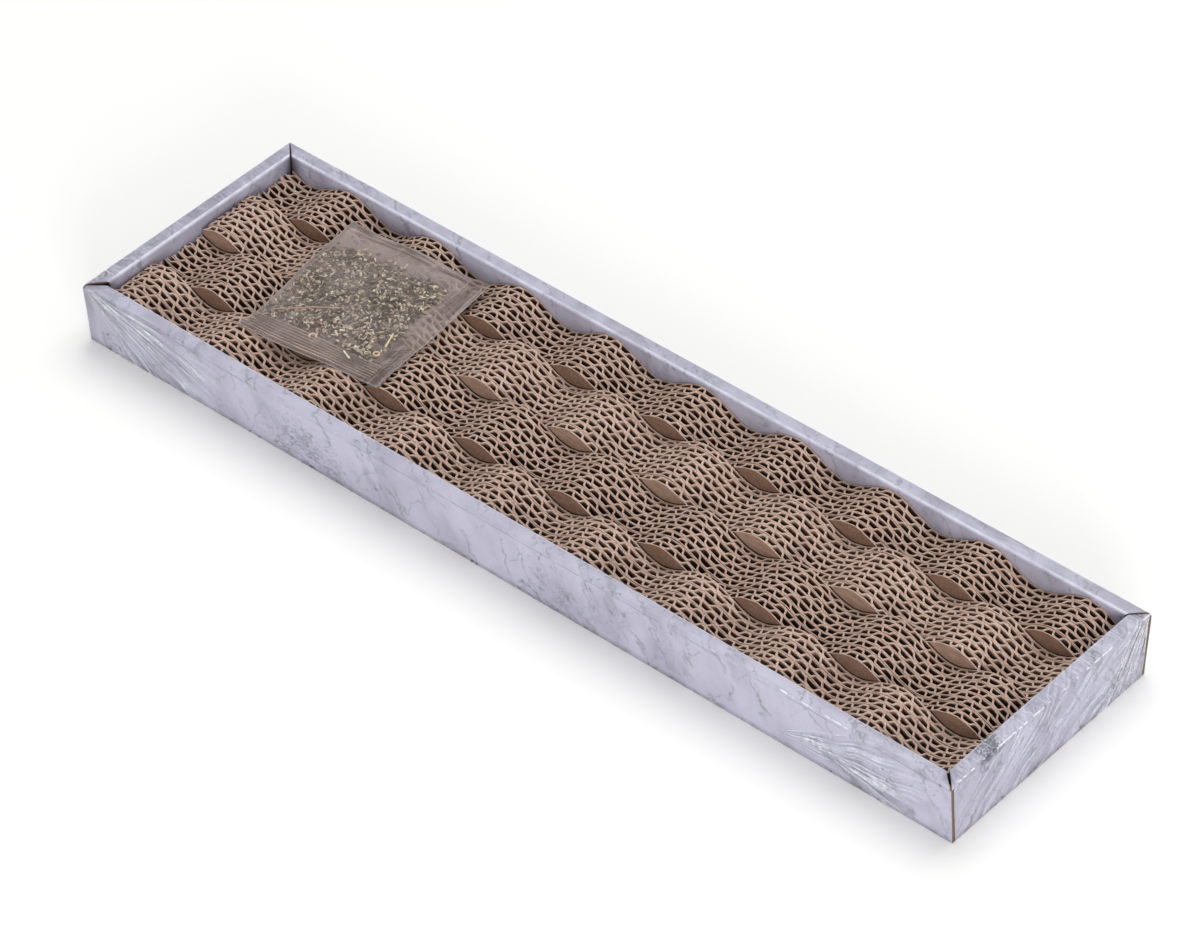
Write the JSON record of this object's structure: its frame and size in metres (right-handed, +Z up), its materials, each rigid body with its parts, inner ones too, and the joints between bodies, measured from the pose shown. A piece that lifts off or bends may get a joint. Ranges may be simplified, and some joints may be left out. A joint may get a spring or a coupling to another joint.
{
  "type": "cardboard cat scratcher",
  "caption": "Long cat scratcher: a wavy pad of corrugated cardboard strips on edge in a marble-print folded tray, with a small grip-seal bag of catnip on top.",
  "frame": {"origin": "middle of the tray's underside", "axes": "+X along the length, to the right when seen from the front; +Y towards the back; +Z up. The catnip bag lies near the -X end."},
  "size_m": [0.48, 0.132, 0.0341],
  "materials": {
    "printed_board": "satin",
    "kraft_board": "matte",
    "pad_board": "matte",
    "clear_film": "gloss",
    "zip_strip": "gloss",
    "dried_catnip": "matte"
  },
  "bodies": {
    "tray": {"tray_floor": "kraft_board", "front_outer_panel": "printed_board", "front_rim": "printed_board", "front_inner_panel": "printed_board", "back_outer_panel": "printed_board", "back_rim": "printed_board", "back_inner_panel": "printed_board", "left_outer_panel": "printed_board", "left_rim": "printed_board", "left_inner_panel": "printed_board", "right_outer_panel": "printed_board", "right_rim": "printed_board", "right_inner_panel": "printed_board", "front_left_tab": "kraft_board", "front_right_tab": "kraft_board", "back_left_tab": "kraft_board", "back_right_tab": "kraft_board"},
    "pad": {"strip_01": "pad_board", "strip_02": "pad_board", "strip_03": "pad_board", "strip_04": "pad_board", "strip_05": "pad_board", "strip_06": "pad_board", "strip_07": "pad_board", "strip_08": "pad_board", "strip_09": "pad_board", "strip_10": "pad_board", "strip_11": "pad_board", "strip_12": "pad_board", "strip_13": "pad_board", "strip_14": "pad_board", "strip_15": "pad_board", "strip_16": "pad_board", "strip_17": "pad_board", "strip_18": "pad_board", "strip_19": "pad_board", "strip_20": "pad_board", "strip_21": "pad_board", "strip_22": "pad_board", "strip_23": "pad_board", "strip_24": "pad_board", "strip_25": "pad_board", "strip_26": "pad_board", "strip_27": "pad_board", "strip_28": "pad_board", "strip_29": "pad_board", "strip_30": "pad_board"},
    "catnip_bag": {"bag_back_sheet": "clear_film", "bag_front_sheet": "clear_film", "zip_channel": "zip_strip", "zip_rib": "zip_strip", "catnip": "dried_catnip"}
  },
  "joints": [
    {"name": "pad_lift", "type": "slide", "parent": "tray", "child": "pad", "axis": [0, 0, 1], "range_m": [0, 0.06]},
    {"name": "bag_lift", "type": "slide", "parent": "pad", "child": "catnip_bag", "axis": [0, 0, 1], "range_m": [0, 0.05]}
  ]
}
